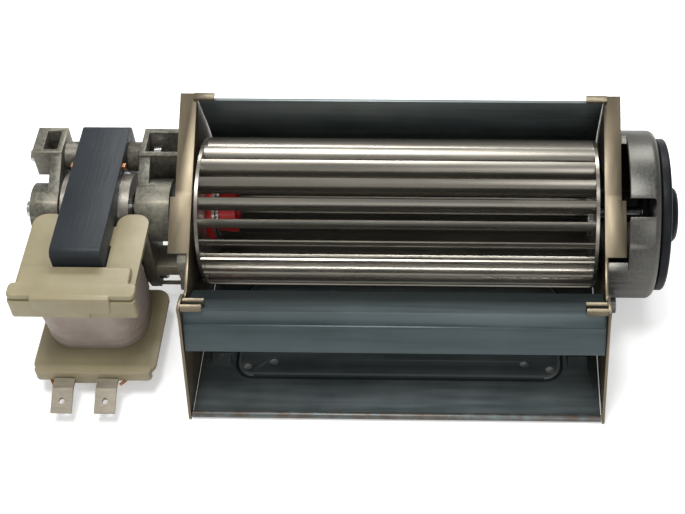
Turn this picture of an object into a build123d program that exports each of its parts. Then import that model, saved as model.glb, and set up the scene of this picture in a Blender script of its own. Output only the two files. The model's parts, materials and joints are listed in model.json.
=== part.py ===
"""Cross flow fan: a drum impeller in a folded sheet housing, with a shaded pole motor on its left end.

The row frame has +X along the shaft from the motor to the idle end, +Z up, and the outlet facing -Y. The origin is
midway between the outer floor holes, on the underside of the floor's raised panel. Sizes are in millimetres.
Profiles are drawn as (forward, up) from the shaft axis, where forward is -Y.
"""
import os
from build123d import *

os.makedirs("parts", exist_ok=True)

# housing
sheet_t = 0.8
seat_gap = 0.3
plate_in = 62.0
floor_top = -31.0
panel_rise = 1.0
hole_line = 38.0
hole_span = 94.0
inner_line = 36.0
inner_span = 78.0
hole_r = 1.5
floor_front = 55.0
bead_r = 1.1

# impeller
fan_r = 22.5
blade_count = 22
blade_end = 59.0
disc_t = 1.0
shaft_r = 2.5
run_gap = 0.05
coupling_r = 6.2

# motor
stack_mid = -93.0
stack_t = 15.0
rotor_r = 12.0
air_gap = 0.3
screw_r = 1.95
screw_places = ((-15.0, 8.5), (6.0, -21.0))

# bearings and idle end
bearing_r = 5.0
cup_r = 26.0
cup_t = 1.5
cup_end = 78.0

plate_out = plate_in + sheet_t
stack_low = stack_mid - stack_t / 2
stack_high = stack_mid + stack_t / 2
floor_under = floor_top - sheet_t
axis_y = hole_line
axis_z = -(floor_under + panel_rise)


def section(x):
    """A plane across the shaft at x, drawn in (forward, up); extrusions run towards -X."""
    return Plane(origin=(x, axis_y, axis_z), x_dir=(0, -1, 0), z_dir=(-1, 0, 0))


def from_above(up):
    """A level plane at a height from the shaft axis, with its middle over the origin."""
    return Plane.XY.offset(axis_z + up)


# scroll sheet: flared lip, spiral back wall, floor with a raised panel and a rolled front bead
lip_top = (-19.0, 29.0)
wall_points = ((-24.5, 14.0), (-27.2, 3.0), (-27.5, -8.0), (-22.5, -19.0), (-12.5, -27.2), (0.0, floor_top))
wall_normals = ((-0.94, 0.34), (-1.0, 0.08), (-0.98, -0.2), (-0.8, -0.6), (-0.5, -0.87), (0.0, -1.0))
wall_backs = [(f + sheet_t * a, u + sheet_t * b) for (f, u), (a, b) in zip(wall_points, wall_normals)]
lip_back = (lip_top[0] + sheet_t * wall_normals[0][0], lip_top[1] + sheet_t * wall_normals[0][1])
lip_run = (-0.344, -0.939)
sheet_span = 2 * (plate_in - seat_gap)
sheet_right = sheet_span / 2
panel_half = 50.0
panel_front = 41.0
panel_back = 4.0
panel_corner = 5.0
tab_x = 55.5
tab_w = 6.0

with BuildPart() as scroll_sheet:
    with BuildSketch(section(sheet_right)):
        with BuildLine():
            Line(lip_top, wall_points[0])
            Spline(*wall_points, tangents=(lip_run, (1.0, 0.0)))
            Polyline(wall_points[-1], (floor_front, floor_top), (floor_front, floor_under), wall_backs[-1])
            Spline(*wall_backs, tangents=(lip_run, (1.0, 0.0)))
            Polyline(wall_backs[0], lip_back, lip_top)
        make_face()
    extrude(amount=sheet_span)
    with BuildSketch(section(sheet_right)):
        with Locations((floor_front + 0.4, floor_top - sheet_t + bead_r)):
            Circle(bead_r)
    extrude(amount=sheet_span)
    panel_mid = axis_y - (panel_front + panel_back) / 2
    panel_depth = panel_front - panel_back
    with BuildSketch(from_above(floor_top)):
        with Locations((0, panel_mid)):
            RectangleRounded(2 * panel_half, panel_depth, panel_corner)
    extrude(amount=panel_rise)
    with BuildSketch(from_above(floor_top - sheet_t)):
        with Locations((0, panel_mid)):
            RectangleRounded(2 * panel_half - 2 * sheet_t, panel_depth - 2 * sheet_t, panel_corner - sheet_t)
    extrude(amount=panel_rise, mode=Mode.SUBTRACT)
    with BuildSketch(from_above(floor_top - sheet_t)):
        with Locations((-hole_span / 2, 0), (hole_span / 2, 0)):
            Circle(hole_r)
        with Locations((-inner_span / 2, hole_line - inner_line), (inner_span / 2, hole_line - inner_line)):
            Circle(hole_r)
    extrude(amount=panel_rise + 2 * sheet_t, mode=Mode.SUBTRACT)
    with BuildSketch(from_above(floor_top - sheet_t)):
        with Locations((-tab_x, 3.5), (tab_x, 3.5)):
            Rectangle(tab_w, 3.0)
    extrude(amount=2 * sheet_t, mode=Mode.SUBTRACT)
    with BuildSketch(section(tab_x + tab_w / 2)):
        with BuildLine():
            Polyline((hole_line - 1.0, floor_top), (hole_line - 4.4, floor_top + 2.0),
                     (hole_line - 5.0, floor_top + 1.4), (hole_line - 1.8, floor_top - 0.3), close=True)
        make_face()
    lanced = extrude(amount=tab_w)
    mirror(lanced, about=Plane.YZ)

# tongue sheet: shelf behind the outlet's upper edge, bent down into a short front face
tongue_back = (28.0, -5.0)
tongue_bend = (42.0, 2.5)
tongue_low = (48.0, -9.0)

with BuildPart() as tongue_sheet:
    with BuildSketch(section(sheet_right)):
        with BuildLine():
            Polyline((25.8, -9.0), tongue_back, tongue_bend, (43.9, -1.2), (44.3, -1.3), tongue_low, (46.9, -10.4))
            offset(amount=sheet_t, side=Side.RIGHT)
        make_face()
    extrude(amount=sheet_span)

# side plates: a cut-off snail shape, with an outward flange along the intake edge
intake_top = (-20.4, 30.6)
intake_mid = (7.0, 15.2)
intake_low = (32.5, 0.6)
plate_outline = (intake_top, intake_mid, intake_low, (36.0, 1.2), (36.6, 3.7), (41.0, 5.4), (43.7, 5.4), (44.8, 0.5),
                 (56.8, floor_under + 0.3), (56.2, floor_under), (-14.0, floor_under), (-24.5, -25.5),
                 (-32.0, -13.0), (-33.6, 1.0), (-31.4, 15.0), (-26.0, 25.0))
flange_w = 5.0
flange_wide = 6.4
edge_clear = ((-26.0, 32.4), (7.0, 13.8), (23.0, 4.6), (32.0, -0.4), (40.0, 40.0), (-26.0, 40.0))
left_eye_r = 10.0
right_eye_r = 15.0


def side_plate(side, eye_r):
    """One side plate as drawn for the right; side is +1 for the right one and -1 for the left."""
    with BuildPart() as plate:
        with BuildSketch(section(plate_out)):
            with BuildLine():
                Polyline(*plate_outline, close=True)
            make_face()
            Circle(eye_r, mode=Mode.SUBTRACT)
        extrude(amount=sheet_t)
        with BuildSketch(section(plate_out + flange_w - sheet_t)):
            with BuildLine():
                Polyline(intake_top, intake_mid)
                offset(amount=sheet_t, side=Side.RIGHT)
            make_face()
        extrude(amount=flange_w)
        with BuildSketch(section(plate_out + flange_wide - sheet_t)):
            with BuildLine():
                Polyline((8.0, 14.63), (23.0, 6.04))
                offset(amount=sheet_t, side=Side.RIGHT)
            make_face()
        extrude(amount=flange_wide)
        with BuildSketch(section(plate_out + flange_w - sheet_t)):
            with BuildLine():
                Polyline((6.5, 15.5), (8.5, 14.34))
                offset(amount=sheet_t, side=Side.RIGHT)
            make_face()
        extrude(amount=flange_w)
        with BuildSketch(section(plate_out)):
            with Locations((intake_top[0] + 1.2, intake_top[1] - 0.3)):
                Rectangle(2.6, sheet_t)
        extrude(amount=6.2)
        with BuildSketch(section(plate_out)):
            with Locations((38.4, tongue_bend[1] - 0.25), (42.2, tongue_bend[1] + 1.5)):
                Rectangle(sheet_t + 0.4, 2.0)
        extrude(amount=7.0)
    return plate.part if side > 0 else mirror(plate.part, about=Plane.YZ)


right_side_plate = side_plate(1, right_eye_r)
left_side_plate = side_plate(-1, left_eye_r)

# impeller: forward-curved blades between two discs
blade_in = (17.6, 0.0)
blade_mid = (20.5, 0.9)
blade_tip = (22.2, 3.3)
blade_t = 0.5

with BuildSketch() as blade_profile:
    with BuildLine():
        ThreePointArc(blade_in, blade_mid, blade_tip)
        Line(blade_tip, (blade_tip[0] + blade_t, blade_tip[1] - 0.2))
        ThreePointArc((blade_tip[0] + blade_t, blade_tip[1] - 0.2), (blade_mid[0] + 0.3, blade_mid[1] - blade_t + 0.05),
                      (blade_in[0], blade_in[1] - blade_t))
        Line((blade_in[0], blade_in[1] - blade_t), blade_in)
    make_face()

with BuildPart() as impeller_blades:
    with BuildSketch(section(blade_end)):
        with PolarLocations(0, blade_count):
            add(blade_profile.sketch)
    extrude(amount=2 * blade_end)


def turned(x, inner, outer, length):
    """A ring on the shaft axis whose right face is at x; inner 0 makes it solid."""
    with BuildPart() as ring:
        with BuildSketch(section(x)):
            Circle(outer)
            if inner > 0:
                Circle(inner, mode=Mode.SUBTRACT)
        extrude(amount=length)
    return ring.part


disc_r = fan_r + 0.3
impeller_left_disc = turned(-blade_end, coupling_r + run_gap, disc_r, disc_t)
impeller_right_disc = turned(blade_end + disc_t, shaft_r + run_gap, disc_r, disc_t)

# drive coupling: red hub through the left disc, with two rings on its inner end
coupling_in = -50.8
with BuildPart() as drive_coupling:
    with BuildSketch(section(coupling_in)):
        Circle(coupling_r)
        Circle(shaft_r + run_gap, mode=Mode.SUBTRACT)
    extrude(amount=10.6)
    with BuildSketch(section(-blade_end + 1.4)):
        Circle(coupling_r + 2.6)
        Circle(coupling_r - 1.0, mode=Mode.SUBTRACT)
    extrude(amount=1.4)
    with BuildSketch(section(coupling_in)):
        with PolarLocations(coupling_r - 0.2, 6):
            Rectangle(1.2, 1.6, mode=Mode.ADD)
        Circle(coupling_r - 1.0, mode=Mode.SUBTRACT)
    extrude(amount=3.2)

coupling_ring_inner = turned(-55.6, coupling_r + run_gap, coupling_r + 1.6, 0.8)
coupling_ring_outer = turned(-56.7, coupling_r + run_gap, coupling_r + 2.0, 0.9)
stub_head = turned(blade_end, 0, 7.0, 1.2)
stub_rod = turned(82.4, 0, shaft_r, 82.4 - blade_end)
stub_shaft = stub_head + stub_rod

# motor: rotor, shaft and the laminated stack
motor_shaft = turned(-52.0, 0, shaft_r, 64.5)
rotor_core = turned(stack_high, shaft_r + run_gap, rotor_r, stack_t)
end_ring_t = 3.0
rotor_ring_inner = turned(stack_high + end_ring_t, 6.0, 11.2, end_ring_t)
rotor_ring_outer = turned(stack_low, 6.0, 11.2, end_ring_t)
washer_inner = turned(stack_high + 3.9, shaft_r + run_gap, 4.6, 3.9)
washer_outer = turned(stack_low, shaft_r + run_gap, 4.6, 3.9)

stack_outline = ((-23.0, 15.0), (31.0, 15.0), (31.0, -31.0), (-9.0, -31.0), (-23.0, -17.0))
limb_back = 22.0
window_back = 13.6
limb_top = 8.0
limb_low = -24.0
shade_places = ((-6.0, 13.0), (-12.6, -10.4))

with BuildPart() as stator_core:
    with BuildSketch(section(stack_high)) as stack:
        with BuildLine():
            Polyline(*stack_outline, close=True)
        make_face()
        fillet(stack.vertices().group_by(Axis.Y)[-1], 2.6)
        with Locations(((limb_back + window_back) / 2, (limb_top + limb_low) / 2)):
            Rectangle(limb_back - window_back, limb_top - limb_low, mode=Mode.SUBTRACT)
        Circle(rotor_r + air_gap, mode=Mode.SUBTRACT)
        with Locations(*screw_places):
            Circle(screw_r + seat_gap, mode=Mode.SUBTRACT)
        with Locations(*shade_places):
            Rectangle(2.2, 2.2, mode=Mode.SUBTRACT)
    extrude(amount=stack_t)

with BuildPart() as shading_rings:
    with BuildSketch(section(stack_high + 0.9)):
        with Locations(*shade_places):
            Rectangle(2.2 - 2 * seat_gap, 2.2 - 2 * seat_gap)
    extrude(amount=stack_t + 1.8)

# coil: cream bobbin round the stack's upright limb, its taped winding, clip bar and terminals
bobbin_half = 17.6
bobbin_mid = stack_mid
flange_top = limb_top - seat_gap
flange_t = 1.5
bobbin_front = 42.0
core_gap = 0.4
tube_t = 1.2
low_flange_top = -22.0

with BuildPart() as coil_bobbin:
    top_mid = axis_y - (bobbin_front + 14.0) / 2
    with BuildSketch(from_above(flange_top - flange_t)):
        with Locations((bobbin_mid, top_mid)):
            RectangleRounded(2 * bobbin_half, bobbin_front - 14.0, 4.0)
        for ear in (-1, 1):
            with Locations((bobbin_mid + ear * (bobbin_half + stack_t / 2 + 0.5) / 2, axis_y - 17.0)):
                RectangleRounded(bobbin_half - stack_t / 2 - 0.5, 16.0, 4.0)
    extrude(amount=flange_t)
    with BuildSketch(from_above(low_flange_top - flange_t)):
        with Locations((bobbin_mid + 1.0, axis_y - 30.5)):
            RectangleRounded(2 * bobbin_half + 2.0, 32.6, 4.0)
    extrude(amount=flange_t)
    with BuildSketch(from_above(low_flange_top - flange_t)):
        with Locations((bobbin_mid, axis_y - (limb_back + 31.0) / 2)):
            Rectangle(stack_t + 2 * core_gap + 2 * tube_t, 31.0 - limb_back + 2 * core_gap + 2 * tube_t)
    extrude(amount=flange_top - low_flange_top + flange_t)
    with BuildSketch(from_above(low_flange_top - flange_t)):
        with Locations((bobbin_mid, axis_y - (limb_back + 31.0) / 2)):
            Rectangle(stack_t + 2 * core_gap, 31.0 - limb_back + 2 * core_gap)
    extrude(amount=flange_top - low_flange_top + flange_t, mode=Mode.SUBTRACT)
    with BuildSketch(from_above(low_flange_top - flange_t)):
        with Locations((bobbin_mid, axis_y - 17.6)):
            Rectangle(stack_t + 1.0, 8.6)
    extrude(amount=flange_t, mode=Mode.SUBTRACT)
    with BuildSketch(from_above(flange_top - 6.6)):
        with Locations((bobbin_mid, axis_y - bobbin_front - 0.4)):
            RectangleRounded(2 * bobbin_half + 2.0, 2.6, 1.2)
    extrude(amount=6.6)
    with BuildSketch(from_above(low_flange_top - 2.6)):
        with Locations((bobbin_mid + 1.0, axis_y - 46.2)):
            RectangleRounded(2 * bobbin_half, 3.2, 1.5)
    extrude(amount=3.6)
    with BuildSketch(from_above(low_flange_top - 4.6)):
        with Locations((bobbin_mid, axis_y - 45.0)):
            Rectangle(12.6, 5.0)
    extrude(amount=4.6)

with BuildPart() as coil_winding:
    with BuildSketch(from_above(low_flange_top + seat_gap)):
        with Locations((bobbin_mid, axis_y - 26.4)):
            RectangleRounded(31.0, 23.6, 4.5)
        with Locations((bobbin_mid, axis_y - (limb_back + 31.0) / 2)):
            Rectangle(stack_t + 2 * core_gap + 2 * tube_t + 0.6, 9.0 + 2 * core_gap + 2 * tube_t + 0.6,
                      mode=Mode.SUBTRACT)
    extrude(amount=flange_top - flange_t - low_flange_top - 2 * seat_gap)

with BuildPart() as bobbin_clip:
    with BuildSketch(from_above(flange_top + seat_gap)):
        with Locations((bobbin_mid, axis_y - bobbin_front + 1.6)):
            RectangleRounded(2 * bobbin_half + 2.0, 5.4, 1.6)
        with Locations((bobbin_mid, axis_y - 35.0)):
            Rectangle(2 * bobbin_half - 3.0, 6.6)
    extrude(amount=2.0)

terminal_places = (-100.5, -87.4)
terminal_w = 6.3
terminal_t = 0.8


def terminal(x):
    """A tab terminal out of the lower flange's bar, bent down a little at its tip, with a centre dimple hole."""
    with BuildPart() as tab:
        with BuildSketch(section(x + terminal_w / 2)):
            with BuildLine():
                Polyline((48.1, low_flange_top - 1.2), (51.5, low_flange_top - 1.4), (58.4, low_flange_top - 4.8))
                offset(amount=terminal_t, side=Side.RIGHT)
            make_face()
        extrude(amount=terminal_w)
        with BuildSketch(from_above(low_flange_top - 8.0)):
            with Locations((x, axis_y - 55.0)):
                Circle(0.85)
        extrude(amount=10.0, mode=Mode.SUBTRACT)
    return tab.part


terminal_left = terminal(terminal_places[0])
terminal_right = terminal(terminal_places[1])

# brackets: two castings with a boss each, one also reaching the left side plate
boss_r = 8.2
bar_outline = ((-21.5, 4.0), (-21.5, 14.5), (-11.0, 14.5), (10.0, 3.0), (12.0, -20.0), (9.5, -26.0),
               (1.5, -26.0), (-2.5, -14.0), (-9.0, -3.0))
bar_t = 3.4
bar_gap = 4.6
leg_r = 4.6
rear_face = stack_low - bar_gap
front_face = stack_high + bar_gap

with BuildPart() as rear_bracket:
    with BuildSketch(section(rear_face)):
        with BuildLine():
            Polyline(*bar_outline, close=True)
        make_face()
        Circle(boss_r)
    extrude(amount=bar_t)
    with BuildSketch(section(rear_face)):
        Circle(boss_r)
    extrude(amount=8.6)
    with BuildSketch(section(stack_low)):
        with Locations(*screw_places):
            Circle(leg_r)
    extrude(amount=bar_gap)
    with BuildSketch(section(rear_face)):
        with Locations((-16.0, 9.5)):
            Rectangle(11.0, 10.0)
    extrude(amount=9.4)
    with BuildSketch(section(rear_face - 1.8)):
        with Locations((-16.0, 11.5)):
            Rectangle(8.0, 10.0)
    extrude(amount=4.4, mode=Mode.SUBTRACT)
    with BuildSketch(section(rear_face)):
        Circle(bearing_r + seat_gap)
    extrude(amount=8.6, mode=Mode.SUBTRACT)
    with BuildSketch(section(stack_low)):
        with Locations(*screw_places):
            Circle(screw_r + seat_gap)
    extrude(amount=20.0, mode=Mode.SUBTRACT)

base_r = 25.0
base_t = 3.0
base_right = -plate_out
base_screws_at = ((-15.5, 19.5), (-19.0, -12.0), (19.0, -12.0))
front_reach = base_right - base_t - front_face

with BuildPart() as front_bracket:
    with BuildSketch(section(front_face + bar_t)):
        with BuildLine():
            Polyline(*bar_outline, close=True)
        make_face()
        Circle(boss_r)
    extrude(amount=bar_t)
    with BuildSketch(section(front_face + 10.5)):
        Circle(boss_r + 1.6)
    extrude(amount=10.5)
    with BuildSketch(section(front_face)):
        with Locations(*screw_places):
            Circle(leg_r)
    extrude(amount=bar_gap)
    with BuildSketch(section(base_right)):
        Circle(base_r)
        with Locations(base_screws_at[0]):
            Circle(4.4)
        Circle(12.0, mode=Mode.SUBTRACT)
    extrude(amount=base_t)
    with BuildSketch(section(base_right - base_t)):
        with Locations((-15.5, 8.5)):
            Rectangle(12.0, 12.0)
        with Locations((5.5, -20.0)):
            Rectangle(9.0, 9.0)
    extrude(amount=front_reach)
    with BuildSketch(section(base_right - base_t - 2.0)):
        with Locations((-15.5, 10.6)):
            Rectangle(8.4, 12.0)
    extrude(amount=front_reach - 3.6, mode=Mode.SUBTRACT)
    with BuildSketch(section(base_right)):
        with BuildLine():
            Polyline(*edge_clear, close=True)
        make_face()
    extrude(amount=flange_wide + 1.0, mode=Mode.SUBTRACT)
    with BuildSketch(section(front_face + 10.5)):
        Circle(bearing_r + seat_gap)
    extrude(amount=10.5, mode=Mode.SUBTRACT)
    with BuildSketch(section(front_face + bar_t)):
        with Locations(*screw_places):
            Circle(screw_r + seat_gap)
    extrude(amount=bar_t + bar_gap, mode=Mode.SUBTRACT)
    with BuildSketch(section(front_face + 14.0)):
        with Locations(screw_places[1]):
            Circle(4.2)
    extrude(amount=14.0 - bar_t, mode=Mode.SUBTRACT)

rear_bearing = turned(rear_face, shaft_r + run_gap, bearing_r, 8.2)
front_bearing = turned(front_face + 10.2, shaft_r + run_gap, bearing_r, 10.2)

with BuildPart() as motor_screws:
    with BuildSketch(section(front_face + bar_t)):
        with Locations(*screw_places):
            Circle(screw_r)
    extrude(amount=front_face + bar_t - rear_face + 11.5)
    with BuildSketch(section(front_face + bar_t + 2.2)):
        with Locations(*screw_places):
            Circle(3.3)
    extrude(amount=2.2)

with BuildPart() as base_screws:
    with BuildSketch(section(base_right - base_t)):
        with Locations(*base_screws_at):
            Circle(2.6)
    extrude(amount=1.6)

# idle end: aluminium cup on the right plate, rubber mount in its end, bush for the stub shaft
ear_at = ((25.0, -11.6), (-25.0, 11.6))
ear_t = 1.6
grommet_r = 9.0
window_low = 4.0

with BuildPart() as bearing_cup:
    with BuildSketch(section(plate_out + ear_t)):
        Circle(cup_r)
        with Locations(*ear_at):
            Circle(5.0)
    extrude(amount=ear_t)
    with BuildSketch(section(cup_end)):
        Circle(cup_r)
    body = extrude(amount=cup_end - plate_out)
    fillet(bearing_cup.edges().filter_by(GeomType.CIRCLE).group_by(Axis.X)[-1], 2.4)
    with BuildSketch(section(cup_end - cup_t)):
        Circle(cup_r - cup_t - 0.6)
    extrude(amount=cup_end - cup_t - plate_out, mode=Mode.SUBTRACT)
    with BuildSketch(section(cup_end)):
        Circle(grommet_r)
    extrude(amount=cup_t, mode=Mode.SUBTRACT)
    with BuildSketch(section(plate_out + flange_wide - sheet_t + 0.4)):
        with BuildLine():
            Polyline(*edge_clear, close=True)
        make_face()
    extrude(amount=flange_wide, mode=Mode.SUBTRACT)
    with BuildSketch(Plane(origin=(70.0, axis_y, axis_z), x_dir=(1, 0, 0), z_dir=(0, -0.62, 0.79))):
        with Locations((1.6, 0)):
            RectangleRounded(9.6, 5.6, 1.2)
    extrude(amount=cup_r + 4, mode=Mode.SUBTRACT)

rubber_r = 23.5
hub_r = 8.6
with BuildPart() as rubber_mount:
    with BuildSketch(section(cup_end + seat_gap + 3.0)):
        Circle(rubber_r)
    extrude(amount=3.0)
    fillet(rubber_mount.edges().group_by(Axis.X)[-1], 1.0)
    with BuildSketch(section(85.4)):
        Circle(hub_r)
    extrude(amount=85.4 - cup_end + 3.6)
    fillet(rubber_mount.edges().group_by(Axis.X)[-1], 2.0)
    with BuildSketch(section(83.2)):
        Circle(bearing_r + seat_gap)
    extrude(amount=83.2 - 72.0, mode=Mode.SUBTRACT)

idle_bearing = turned(82.9, shaft_r + run_gap, bearing_r, 7.6)

with BuildPart() as cup_screws:
    with BuildSketch(section(plate_out + ear_t + 1.9)):
        with Locations((ear_at[0][0] + 1.0, ear_at[0][1] - 1.2), (ear_at[1][0] - 1.0, ear_at[1][1] + 1.2)):
            Circle(2.4)
    extrude(amount=1.9)

pieces = {
    "left_side_plate": left_side_plate,
    "right_side_plate": right_side_plate,
    "scroll_sheet": scroll_sheet.part,
    "tongue_sheet": tongue_sheet.part,
    "impeller_blades": impeller_blades.part,
    "impeller_left_disc": impeller_left_disc,
    "impeller_right_disc": impeller_right_disc,
    "drive_coupling": drive_coupling.part,
    "coupling_ring_inner": coupling_ring_inner,
    "coupling_ring_outer": coupling_ring_outer,
    "stub_shaft": stub_shaft,
    "motor_shaft": motor_shaft,
    "rotor_core": rotor_core,
    "rotor_ring_inner": rotor_ring_inner,
    "rotor_ring_outer": rotor_ring_outer,
    "washer_inner": washer_inner,
    "washer_outer": washer_outer,
    "stator_core": stator_core.part,
    "shading_rings": shading_rings.part,
    "coil_bobbin": coil_bobbin.part,
    "coil_winding": coil_winding.part,
    "bobbin_clip": bobbin_clip.part,
    "terminal_left": terminal_left,
    "terminal_right": terminal_right,
    "rear_bracket": rear_bracket.part,
    "front_bracket": front_bracket.part,
    "rear_bearing": rear_bearing,
    "front_bearing": front_bearing,
    "motor_screws": motor_screws.part,
    "base_screws": base_screws.part,
    "bearing_cup": bearing_cup.part,
    "rubber_mount": rubber_mount.part,
    "idle_bearing": idle_bearing,
    "cup_screws": cup_screws.part,
}
for name, piece in pieces.items():
    piece.label = name
    export_step(piece, f"parts/{name}.step")
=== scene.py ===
import json
import math

import bpy
from mathutils import Matrix, Vector, noise as ripple


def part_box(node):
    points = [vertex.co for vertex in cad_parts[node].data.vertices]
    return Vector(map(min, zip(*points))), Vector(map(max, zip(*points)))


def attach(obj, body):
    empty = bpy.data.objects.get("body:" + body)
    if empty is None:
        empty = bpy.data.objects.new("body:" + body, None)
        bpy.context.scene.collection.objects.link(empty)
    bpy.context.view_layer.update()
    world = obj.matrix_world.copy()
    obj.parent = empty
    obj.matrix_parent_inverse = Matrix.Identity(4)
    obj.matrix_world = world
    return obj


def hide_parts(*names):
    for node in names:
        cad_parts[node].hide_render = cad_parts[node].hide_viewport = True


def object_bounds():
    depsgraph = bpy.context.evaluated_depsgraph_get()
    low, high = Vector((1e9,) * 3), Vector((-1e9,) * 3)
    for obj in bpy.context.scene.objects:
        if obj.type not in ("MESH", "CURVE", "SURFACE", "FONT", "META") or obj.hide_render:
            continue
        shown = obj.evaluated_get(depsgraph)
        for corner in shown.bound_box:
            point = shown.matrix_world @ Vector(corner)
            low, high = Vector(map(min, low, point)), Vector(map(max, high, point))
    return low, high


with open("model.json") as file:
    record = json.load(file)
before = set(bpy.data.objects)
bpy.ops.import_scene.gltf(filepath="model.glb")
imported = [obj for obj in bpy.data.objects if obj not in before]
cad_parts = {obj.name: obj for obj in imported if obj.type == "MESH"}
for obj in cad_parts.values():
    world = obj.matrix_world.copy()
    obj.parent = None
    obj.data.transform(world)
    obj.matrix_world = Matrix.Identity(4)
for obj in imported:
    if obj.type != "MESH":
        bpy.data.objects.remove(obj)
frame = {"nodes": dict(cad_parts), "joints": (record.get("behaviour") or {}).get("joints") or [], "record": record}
bpy.ops.object.select_all(action="DESELECT")
cadBox = [list(corner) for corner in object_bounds()]
nodes = frame["nodes"]
print("frame loaded:", len(nodes), "nodes")


class Wire:
    # one shader socket that can be used in sums, or none yet where a first node is made

    def __init__(self, tree, socket=None):
        self.tree = tree
        self.socket = socket

    def node(self, kind, settings=None, output=0, **inputs):
        made = self.tree.nodes.new(kind)
        for name, value in (settings or {}).items():
            setattr(made, name, value)
        for name, value in inputs.items():
            key = int(name[1:]) if name[0] == "i" and name[1:].isdigit() else name.replace("_", " ")
            if isinstance(value, Wire):
                self.tree.links.new(value.socket, made.inputs[key])
            else:
                made.inputs[key].default_value = value
        return Wire(self.tree, made.outputs[output])

    def maths(self, operation, first, second):
        return self.node("ShaderNodeMath", {"operation": operation}, i0=first, i1=second)

    def __add__(self, other):
        return self.maths("ADD", self, other)

    def __radd__(self, other):
        return self.maths("ADD", other, self)

    def __sub__(self, other):
        return self.maths("SUBTRACT", self, other)

    def __rsub__(self, other):
        return self.maths("SUBTRACT", other, self)

    def __mul__(self, other):
        return self.maths("MULTIPLY", self, other)

    def __rmul__(self, other):
        return self.maths("MULTIPLY", other, self)

    def band(self, low, high):
        return self.node("ShaderNodeMapRange", i0=self, i1=low, i2=high, i3=0.0, i4=1.0)

    def mix(self, first, second):
        return self.node("ShaderNodeMix", {"data_type": "RGBA"}, 2, i0=self, i6=first, i7=second)

    def size(self):
        return self.maths("ABSOLUTE", self, 0.0)

    def near(self, middle, reach):
        return self.node("ShaderNodeMath", {"operation": "COMPARE"}, i0=self, i1=middle, i2=reach)

    def axes(self):
        return [self.node("ShaderNodeSeparateXYZ", output=axis, Vector=self) for axis in "XYZ"]


def colour(r, g, b):
    return (r, g, b, 1.0)


def newFinish(name, base, metallic, roughness):
    # a Principled material, its shader node and a wire with the Object coordinates
    material = bpy.data.materials.new(name)
    material.use_nodes = True
    tree = material.node_tree
    shader = tree.nodes["Principled BSDF"]
    shader.inputs["Base Color"].default_value = colour(*base)
    shader.inputs["Metallic"].default_value = metallic
    shader.inputs["Roughness"].default_value = roughness
    place = Wire(tree).node("ShaderNodeTexCoord", output="Object")
    return material, shader, place


def feed(shader, name, wire):
    wire.tree.links.new(wire.socket, shader.inputs[name])


def noise(place, scale, detail=4.0, stretch=(1.0, 1.0, 1.0)):
    turned = place.node("ShaderNodeMapping", Vector=place, Scale=stretch)
    return place.node("ShaderNodeTexNoise", Vector=turned, Scale=scale, Detail=detail)


def metalFinish(name, look):
    # rolled or cast metal: blotches, fine lines along one axis, darker grime and paler rubbed edges
    material, shader, place = newFinish(name, look["base"], look["metallic"], look["roughness"])
    blotch = noise(place, look["blotch"], 3.0)
    lines = noise(place, look["lines"], 2.0, look["along"])
    specks = noise(place, look["lines"] * 3.0, 2.0).band(0.62, 0.72)
    tone = blotch.band(0.35, 0.68).mix(colour(*look["dark"]), colour(*look["base"]))
    tone = (lines.band(0.3, 0.7) * look["lineTone"]).mix(tone, colour(*look["pale"]))
    tone = (specks * look["speck"]).mix(tone, colour(*look["dark"]))
    edge = place.node("ShaderNodeNewGeometry", output=7).band(0.53, 0.62)
    tone = (edge * look["edge"]).mix(tone, colour(*look["pale"]))
    feed(shader, "Base Color", tone)
    sheen = look["roughness"] + (lines - 0.5) * look["sheenSpread"] + (blotch - 0.5) * 0.15
    feed(shader, "Roughness", sheen)
    relief = lines + blotch * 0.5
    bump = place.node("ShaderNodeBump", Strength=look["bump"], Distance=0.0002, Height=relief)
    feed(shader, "Normal", bump)
    return material


def pressedFinish(name, look, panel):
    # the floor and back sheet: a painted highlight line just inside its panel's raised edge, a painted shade line
    # just outside it, and a brown tint along its front bead
    material = metalFinish(name, look)
    tree = material.node_tree
    shader = tree.nodes["Principled BSDF"]
    tone = Wire(tree, shader.inputs["Base Color"].links[0].from_socket)
    place = Wire(tree, tree.nodes["Texture Coordinate"].outputs["Object"])
    x, y, z = place.axes()
    beyondX = x.maths("MAXIMUM", x.size() - (panel["halfWide"] - panel["corner"]), 0.0)
    fromMiddle = (y - panel["middle"]).size()
    beyondY = y.maths("MAXIMUM", fromMiddle - (panel["halfDeep"] - panel["corner"]), 0.0)
    reach = x.maths("SQRT", beyondX * beyondX + beyondY * beyondY, 0.0) - panel["corner"]
    low = z.maths("LESS_THAN", z, panel["height"])
    # painted highlight and painted shade lines along the panel's edge, on the low floor part only
    rimHighlight = (reach + panel["rimHighlight"]).near(0.0, panel["rimHighlight"])
    ditchShade = (reach - panel["ditchShade"]).near(0.0, panel["ditchShade"])
    tone = (rimHighlight * low * 0.7).mix(tone, colour(*look["pale"]))
    # the near-black colour of the painted shade line
    tone = (ditchShade * low * 0.75).mix(tone, colour(0.014, 0.018, 0.019))
    # a brown tint along the front bead, mottled by noise
    beadBrownTint = y.band(panel["bead"] + 0.0008, panel["bead"]) * noise(place, 300.0).band(0.3, 0.6)
    tone = (beadBrownTint * 0.7).mix(tone, colour(0.10, 0.062, 0.038))
    feed(shader, "Base Color", tone)
    return material


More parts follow.
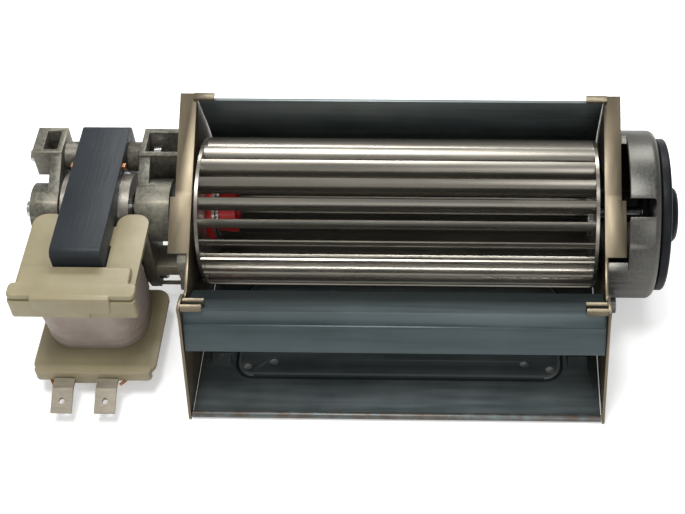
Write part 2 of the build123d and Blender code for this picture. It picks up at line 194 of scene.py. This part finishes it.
def mouldedFinish(name, look):
    # moulded plastic, rubber or tape: soft mottling and a fine matt grain
    material, shader, place = newFinish(name, look["base"], 0.0, look["roughness"])
    mottle = noise(place, look["mottle"], 4.0)
    grain = noise(place, look["grain"], 2.0, look.get("along", (1.0, 1.0, 1.0)))
    tone = mottle.band(0.3, 0.75).mix(colour(*look["base"]), colour(*look["dark"]))
    feed(shader, "Base Color", tone)
    feed(shader, "Roughness", look["roughness"] + (grain - 0.5) * 0.2)
    relief = grain + mottle * 0.6
    bump = place.node("ShaderNodeBump", Strength=look["bump"], Distance=0.0003, Height=relief)
    feed(shader, "Normal", bump)
    return material


metalLooks = {
    "galvanisedSheet": dict(base=(0.125, 0.152, 0.154), dark=(0.080, 0.102, 0.105),
                            pale=(0.26, 0.29, 0.29), metallic=0.5, roughness=0.4, blotch=60.0,
                            lines=500.0, along=(0.06, 1.0, 1.0), lineTone=0.3, speck=0.25, edge=0.8,
                            sheenSpread=0.25, bump=0.12),
    # a darker copy of the galvanised sheet, painted shade for the tongue's face
    "shadedTongueSheet": dict(base=(0.034, 0.052, 0.056), dark=(0.021, 0.034, 0.038),
                        pale=(0.11, 0.135, 0.14), metallic=0.55, roughness=0.4, blotch=60.0,
                        lines=500.0, along=(0.06, 1.0, 1.0), lineTone=0.25, speck=0.25, edge=0.9,
                        sheenSpread=0.25, bump=0.12),
    "plateSteel": dict(base=(0.052, 0.044, 0.028), dark=(0.02, 0.018, 0.013),
                       pale=(0.20, 0.165, 0.11), metallic=0.75, roughness=0.38, blotch=90.0,
                       lines=700.0, along=(1.0, 0.1, 0.2), lineTone=0.4, speck=0.3, edge=0.8,
                       sheenSpread=0.25, bump=0.15),
    "bladeStrip": dict(base=(0.085, 0.081, 0.072), dark=(0.034, 0.033, 0.031),
                       pale=(0.30, 0.28, 0.24), metallic=0.9, roughness=0.3, blotch=50.0,
                       lines=420.0, along=(0.04, 1.0, 1.0), lineTone=0.4, speck=0.2, edge=0.8,
                       sheenSpread=0.3, bump=0.12),
    "groundSteel": dict(base=(0.50, 0.50, 0.49), dark=(0.26, 0.26, 0.26), pale=(0.75, 0.75, 0.74),
                        metallic=1.0, roughness=0.2, blotch=120.0, lines=900.0,
                        along=(1.0, 0.1, 0.1), lineTone=0.3, speck=0.1, edge=0.5, sheenSpread=0.15,
                        bump=0.05),
    "castAlloy": dict(base=(0.13, 0.124, 0.10), dark=(0.052, 0.054, 0.05), pale=(0.36, 0.33, 0.25),
                      metallic=0.6, roughness=0.48, blotch=140.0, lines=900.0,
                      along=(1.0, 1.0, 1.0), lineTone=0.35, speck=0.5, edge=0.7, sheenSpread=0.25,
                      bump=0.35),
    "cupAlloy": dict(base=(0.095, 0.094, 0.084), dark=(0.042, 0.044, 0.042),
                     pale=(0.30, 0.28, 0.24), metallic=0.75, roughness=0.4, blotch=45.0,
                     lines=1500.0, along=(1.0, 0.7, 0.7), lineTone=0.15, speck=0.3, edge=0.8,
                     sheenSpread=0.25, bump=0.15),
    "rotorSteel": dict(base=(0.20, 0.20, 0.20), dark=(0.1, 0.1, 0.1), pale=(0.45, 0.45, 0.45),
                       metallic=0.9, roughness=0.35, blotch=80.0, lines=1500.0,
                       along=(1.0, 0.1, 0.1), lineTone=0.4, speck=0.2, edge=0.5, sheenSpread=0.2,
                       bump=0.1),
    "tinnedBrass": dict(base=(0.16, 0.145, 0.12), dark=(0.08, 0.072, 0.06), pale=(0.36, 0.32, 0.25),
                        metallic=0.8, roughness=0.42, blotch=200.0, lines=1200.0,
                        along=(0.2, 1.0, 1.0), lineTone=0.35, speck=0.4, edge=0.6, sheenSpread=0.2,
                        bump=0.12),
    "bronzeBush": dict(base=(0.32, 0.22, 0.11), dark=(0.18, 0.12, 0.06), pale=(0.55, 0.40, 0.22),
                       metallic=0.9, roughness=0.4, blotch=200.0, lines=1200.0,
                       along=(1.0, 0.2, 0.2), lineTone=0.3, speck=0.4, edge=0.5, sheenSpread=0.2,
                       bump=0.15),
    "bareCopper": dict(base=(0.45, 0.18, 0.09), dark=(0.26, 0.10, 0.05), pale=(0.70, 0.36, 0.20),
                       metallic=0.95, roughness=0.32, blotch=200.0, lines=1200.0,
                       along=(0.2, 1.0, 1.0), lineTone=0.3, speck=0.3, edge=0.5, sheenSpread=0.2,
                       bump=0.1),
    "darkScrew": dict(base=(0.04, 0.04, 0.043), dark=(0.02, 0.02, 0.022), pale=(0.16, 0.16, 0.16),
                      metallic=0.8, roughness=0.4, blotch=300.0, lines=1500.0,
                      along=(1.0, 1.0, 1.0), lineTone=0.3, speck=0.3, edge=0.6, sheenSpread=0.2,
                      bump=0.2),
}
mouldedLooks = {
    "stackVarnish": dict(base=(0.027, 0.032, 0.037), dark=(0.018, 0.022, 0.026), roughness=0.45,
                         mottle=60.0, grain=1400.0, along=(1.0, 0.05, 0.05), bump=0.25),
    "creamPlastic": dict(base=(0.31, 0.27, 0.165), dark=(0.225, 0.19, 0.11), roughness=0.42,
                         mottle=70.0, grain=900.0, bump=0.12),
    "coilTape": dict(base=(0.36, 0.30, 0.26), dark=(0.25, 0.20, 0.17), roughness=0.5, mottle=110.0,
                     grain=260.0, along=(1.0, 1.0, 0.35), bump=0.45),
    "redHub": dict(base=(0.50, 0.010, 0.010), dark=(0.28, 0.008, 0.008), roughness=0.35,
                   mottle=120.0, grain=900.0, bump=0.1),
    "blackRubber": dict(base=(0.010, 0.012, 0.014), dark=(0.006, 0.007, 0.008), roughness=0.42,
                        mottle=90.0, grain=1200.0, bump=0.2),
}
finishes = {name: metalFinish(name, look) for name, look in metalLooks.items()}
# the last two widths are those of the painted highlight line and the painted shade line along the panel's edge
finishes["pressedSheet"] = pressedFinish("pressedSheet", metalLooks["galvanisedSheet"], dict(
    halfWide=0.050, halfDeep=0.0185, middle=0.0155, corner=0.005, height=0.0025, bead=-0.0168,
    rimHighlight=0.0004, ditchShade=0.0005))
finishes.update({name: mouldedFinish(name, look) for name, look in mouldedLooks.items()})
for name, level in (("blackRubber", 0.12), ("stackVarnish", 0.2)):
    finishes[name].node_tree.nodes["Principled BSDF"].inputs["Specular IOR Level"].default_value = level
slotFinish = {
    "sheet_steel": "galvanisedSheet", "plate_steel": "plateSteel", "blade_metal": "bladeStrip",
    "red_plastic": "redHub", "bright_steel": "groundSteel", "stack_paint": "stackVarnish",
    "rotor_steel": "rotorSteel", "die_cast": "castAlloy", "copper": "bareCopper",
    "cream_plastic": "creamPlastic", "tape": "coilTape", "tin": "tinnedBrass",
    "bronze": "bronzeBush", "cup_aluminium": "cupAlloy", "black_rubber": "blackRubber",
    "dark_steel": "darkScrew",
}
for part in frame["record"]["subparts"]:
    mesh = nodes[part["node"]].data
    mesh.materials.clear()
    mesh.materials.append(finishes[slotFinish[part["material_slot"]]])
print("finishes set")

bodies = frame["record"]["behaviour"]["bodies"]
bodyOf = {node: body for body, group in bodies.items() for node in group}
slotOf = {part["node"]: part["material_slot"] for part in frame["record"]["subparts"]}


def activate(piece):
    bpy.ops.object.select_all(action="DESELECT")
    piece.select_set(True)
    bpy.context.view_layer.objects.active = piece


def settle(piece, node, finish=None, hide=True):
    # gives a finished piece its material, chosen by its node's slot, and its body, and hides the node that it
    # stands for
    piece.data.materials.clear()
    piece.data.materials.append(finishes[finish or slotFinish[slotOf[node]]])
    if hide:
        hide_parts(node)
    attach(piece, bodyOf[node])
    return piece


def softenEdges(node, name, width, segments, finish):
    # a merged copy of a solid with its sharp edges rounded, as on cast and moulded pieces
    piece = bpy.data.objects.new(name, nodes[node].data.copy())
    bpy.context.collection.objects.link(piece)
    activate(piece)
    bpy.ops.object.mode_set(mode="EDIT")
    bpy.ops.mesh.select_all(action="SELECT")
    bpy.ops.mesh.remove_doubles(threshold=0.000002)
    bpy.ops.mesh.dissolve_limited(angle_limit=math.radians(1.0))
    bpy.ops.object.mode_set(mode="OBJECT")
    rounding = piece.modifiers.new("softEdge", "BEVEL")
    rounding.width = width
    rounding.segments = segments
    rounding.limit_method = "ANGLE"
    rounding.angle_limit = math.radians(40.0)
    bpy.ops.object.modifier_apply(modifier="softEdge")
    bpy.ops.object.shade_smooth_by_angle(angle=math.radians(40.0))
    return settle(piece, node, finish)


softEdges = {
    "coil_bobbin": ("bobbinMoulding", 0.0005, 3),
    "bobbin_clip": ("clipMoulding", 0.0006, 3),
    "rear_bracket": ("rearCasting", 0.0005, 2),
    "front_bracket": ("frontCasting", 0.0005, 2),
    "stator_core": ("varnishedStack", 0.0003, 2),
    "rubber_mount": ("rubberMoulding", 0.0006, 3),
    "left_side_plate": ("leftPlateBlank", 0.00015, 2),
    "right_side_plate": ("rightPlateBlank", 0.00015, 2),
    "tongue_sheet": ("tongueFold", 0.00015, 2),
    "scroll_sheet": ("scrollPressing", 0.0003, 3),
    "drive_coupling": ("hubMoulding", 0.0003, 2),
    "bearing_cup": ("cupPressing", 0.0002, 2),
}
# the tongue gets the darker copy of the galvanised sheet as painted shade
ownFinish = {"scroll_sheet": "pressedSheet", "tongue_sheet": "shadedTongueSheet"}
for node, (name, width, segments) in softEdges.items():
    softenEdges(node, name, width, segments, ownFinish.get(node))
print("edges softened")

winding = dict(bulge=0.0009, wrinkle=0.0006, wrinkleScale=(90.0, 90.0, 700.0), turnPitch=0.0036,
               slim=0.96, corner=0.0085, cornerSteps=10, cuts=(9, 3))


def tapedWinding():
    # the taped coil: barrel-shaped, with soft ridges round it where the tape laps
    low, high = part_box("coil_winding")
    size, middle = high - low, (low + high) / 2
    barrel = (size.x * winding["slim"], size.y * winding["slim"], size.z)
    bpy.ops.mesh.primitive_cube_add(size=1.0, location=middle, scale=barrel)
    piece = bpy.context.object
    piece.name = "tapedCoil"
    bpy.ops.object.transform_apply(location=True, rotation=True, scale=True)
    rounding = piece.modifiers.new("corners", "BEVEL")
    rounding.width = winding["corner"]
    rounding.segments = winding["cornerSteps"]
    rounding.limit_method = "WEIGHT"
    weights = piece.data.attributes.new("bevel_weight_edge", "FLOAT", "EDGE")
    for edge in piece.data.edges:
        ends = [piece.data.vertices[i].co for i in edge.vertices]
        upright = abs(ends[0].z - ends[1].z) > size.z / 2
        weights.data[edge.index].value = 1.0 if upright else 0.0
    bpy.ops.object.modifier_apply(modifier="corners")
    activate(piece)
    bpy.ops.object.mode_set(mode="EDIT")
    bpy.ops.mesh.select_all(action="SELECT")
    bpy.ops.mesh.quads_convert_to_tris()
    bpy.ops.mesh.tris_convert_to_quads()
    for cuts in winding["cuts"]:
        bpy.ops.mesh.subdivide(number_cuts=cuts)
    bpy.ops.object.mode_set(mode="OBJECT")
    for vertex in piece.data.vertices:
        offset = vertex.co - middle
        height = offset.z / size.z * 2
        lap = math.sin(vertex.co.z / winding["turnPitch"] * math.pi * 2) * 0.5
        rough = ripple.noise(Vector([vertex.co[i] * winding["wrinkleScale"][i] for i in range(3)]))
        swell = winding["bulge"] * (1 - height ** 2) + winding["wrinkle"] * (rough + lap * 0.35)
        if abs(height) < 0.999:
            vertex.co += Vector((offset.x, offset.y, 0.0)).normalized() * swell
            for axis in (0, 1):
                vertex.co[axis] = min(max(vertex.co[axis], low[axis]), high[axis])
    bpy.ops.object.shade_smooth_by_angle(angle=math.radians(50.0))
    return settle(piece, "coil_winding")


tapedWinding()

latch = dict(width=0.0232, drop=0.0046, tabDrop=0.0021, stand=0.0011, inset=0.0004, taper=0.94,
             tabShare=0.45, round=0.0005)


def clipLatch():
    # the stepped latch that hangs from the clip bar over the bobbin's front lip, with a small tab below
    low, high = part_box("bobbin_clip")
    middle = (low.x + high.x) / 2
    front = low.y + latch["inset"]
    place = (middle, front - latch["stand"] / 2, (low.z + high.z) / 2)
    bpy.ops.mesh.primitive_cube_add(size=1.0, location=place)
    piece = bpy.context.object
    piece.name = "clipLatch"
    bpy.ops.transform.resize(value=(latch["width"], latch["stand"] * 2, high.z - low.z))
    bpy.ops.object.transform_apply(location=True, rotation=True, scale=True)
    bpy.ops.object.mode_set(mode="EDIT")
    bpy.ops.mesh.select_mode(type="FACE")
    bpy.ops.mesh.select_all(action="DESELECT")
    bpy.ops.object.mode_set(mode="OBJECT")
    for face in piece.data.polygons:
        face.select = face.normal.z < -0.9
    bpy.ops.object.mode_set(mode="EDIT")
    bpy.ops.mesh.extrude_region_move(TRANSFORM_OT_translate={"value": (0.0, 0.0, -latch["drop"])})
    bpy.ops.transform.resize(value=(latch["taper"], 1.0, 1.0))
    bpy.ops.mesh.extrude_region_move(TRANSFORM_OT_translate={"value": (0.0, 0.0, 0.0)})
    bpy.ops.transform.resize(value=(latch["tabShare"], 1.0, 1.0))
    bpy.ops.mesh.extrude_region_move(TRANSFORM_OT_translate={"value": (0.0, 0.0, -latch["tabDrop"])})
    bpy.ops.mesh.select_all(action="SELECT")
    bpy.ops.mesh.remove_doubles(threshold=0.000002)
    bpy.ops.mesh.normals_make_consistent(inside=False)
    bpy.ops.object.mode_set(mode="OBJECT")
    rounding = piece.modifiers.new("softEdge", "BEVEL")
    rounding.width = latch["round"]
    rounding.segments = 3
    bpy.ops.object.modifier_apply(modifier="softEdge")
    bpy.ops.object.shade_smooth_by_angle(angle=math.radians(40.0))
    return settle(piece, "bobbin_clip", hide=False)


clipLatch()

leads = {
    "leftLead": ((-0.1075, -0.002, 0.0075), (-0.1065, -0.0075, 0.0055), (-0.1040, -0.0112, 0.0060)),
    "rightLead": ((-0.0795, -0.002, 0.0075), (-0.0805, -0.0075, 0.0055), (-0.0838, -0.0112, 0.0060)),
}


def bareLead(name, points):
    # a bare wire end bent over to its terminal
    bpy.ops.curve.primitive_nurbs_path_add(location=(0.0, 0.0, 0.0))
    wire = bpy.context.object
    wire.name = name
    wire.data.splines.clear()
    run = wire.data.splines.new("NURBS")
    run.points.add(len(points) - 1)
    for point, place in zip(run.points, points):
        point.co = (*place, 1.0)
    run.order_u = 3
    run.use_endpoint_u = True
    wire.data.bevel_depth = 0.0005
    wire.data.bevel_resolution = 3
    wire.data.use_fill_caps = True
    activate(wire)
    bpy.ops.object.convert(target="MESH")
    wire = bpy.context.object
    bpy.ops.object.shade_smooth_by_angle(angle=math.radians(50.0))
    return settle(wire, "terminal_left", "bareCopper", hide=False)


for name, points in leads.items():
    bareLead(name, points)
print("coil and leads made")

# studio: a floor that is white to the camera apart from a painted shadow patch under the fan, an even world and
# soft plain lamps
studio = dict(turn=1.5, tilt=49.34, roll=-0.59, distance=0.42, aside=0.01618, lower=0.01397, lens=70.8,
              shift=-0.1606, floorDrop=0.0002, floorSize=6.0, glow=0.35, paintedShadowWide=0.060, paintedShadowDeep=0.026,
              paintedShadowMiddle=0.012, sky=0.42)
lamps = {
    "keyLamp": dict(place=(-0.10, -0.05, 0.75), size=(0.30, 0.20), power=3.5),
    "fillLamp": dict(place=(0.25, -0.60, 0.40), size=(0.35, 0.25), power=1.3),
    "backLamp": dict(place=(0.05, 0.5, 0.5), size=(0.5, 0.08), power=3.0),
}


def lookFrom(eye, target):
    return (Vector(eye) - Vector(target)).to_track_quat("Z", "Y").to_euler()


def placeCamera():
    turn, tilt, roll = (math.radians(studio[key]) for key in ("turn", "tilt", "roll"))
    middle = Vector(frame["joints"][0]["pos_m"])
    away = Vector((math.sin(turn) * math.cos(tilt), -math.cos(turn) * math.cos(tilt), math.sin(tilt)))
    level = Vector((0.0, 0.0, 1.0)).cross(away).normalized()
    rise = away.cross(level)
    across = level * math.cos(roll) + rise * math.sin(roll)
    upward = rise * math.cos(roll) - level * math.sin(roll)
    eye = middle + away * studio["distance"] + across * studio["aside"] - upward * studio["lower"]
    facing = Matrix((across, upward, away)).transposed().to_euler()
    bpy.ops.object.camera_add(location=eye, rotation=facing)
    camera = bpy.context.object
    camera.data.lens = studio["lens"]
    camera.data.shift_x = studio["shift"]
    camera.data.clip_start = 0.01
    bpy.context.scene.camera = camera


def addLamp(name, place, size, power):
    bpy.ops.object.light_add(type="AREA", location=place, rotation=lookFrom(place, (0.0, 0.03, 0.03)))
    lamp = bpy.context.object
    lamp.name = name
    lamp.data.shape = "RECTANGLE"
    lamp.data.size, lamp.data.size_y = size
    lamp.data.energy = power


def floorMaterial():
    # a floor that glows white to the camera and keeps the shadow; the glow is left out in a patch under the floor
    # sheet, a painted shadow seen through its holes
    pale = (0.92, 0.92, 0.92)
    material, shader, place = newFinish("paleFloor", pale, 0.0, 0.9)
    seen = place.node("ShaderNodeLightPath", output="Is Camera Ray")
    across, along = place.axes()[:2]
    # inside this rectangle under the fan the floor's glow is left out, a painted shadow seen through the holes
    beside = across.maths("GREATER_THAN", across.size(), studio["paintedShadowWide"])
    fromMiddle = (along - studio["paintedShadowMiddle"]).size()
    ahead = along.maths("GREATER_THAN", fromMiddle, studio["paintedShadowDeep"])
    clear = beside.maths("MAXIMUM", beside, ahead)
    feed(shader, "Emission Color", (seen * clear).mix(colour(0.0, 0.0, 0.0), colour(1.0, 1.0, 1.0)))
    shader.inputs["Emission Strength"].default_value = studio["glow"]
    return material


floorLevel = cadBox[0][2] - studio["floorDrop"]
bpy.ops.mesh.primitive_plane_add(size=studio["floorSize"], location=(0.0, 0.0, floorLevel))
floor = bpy.context.object
floor.name = "floor"
floor.data.materials.append(floorMaterial())

world = bpy.data.worlds.new("studio")
bpy.context.scene.world = world
world.use_nodes = True
sky = world.node_tree.nodes["Background"]
sky.inputs["Color"].default_value = colour(1.0, 1.0, 1.0)
sky.inputs["Strength"].default_value = studio["sky"]
for name, lamp in lamps.items():
    addLamp(name, **lamp)
placeCamera()
bpy.context.scene.view_settings.view_transform = "Standard"
print("studio set")
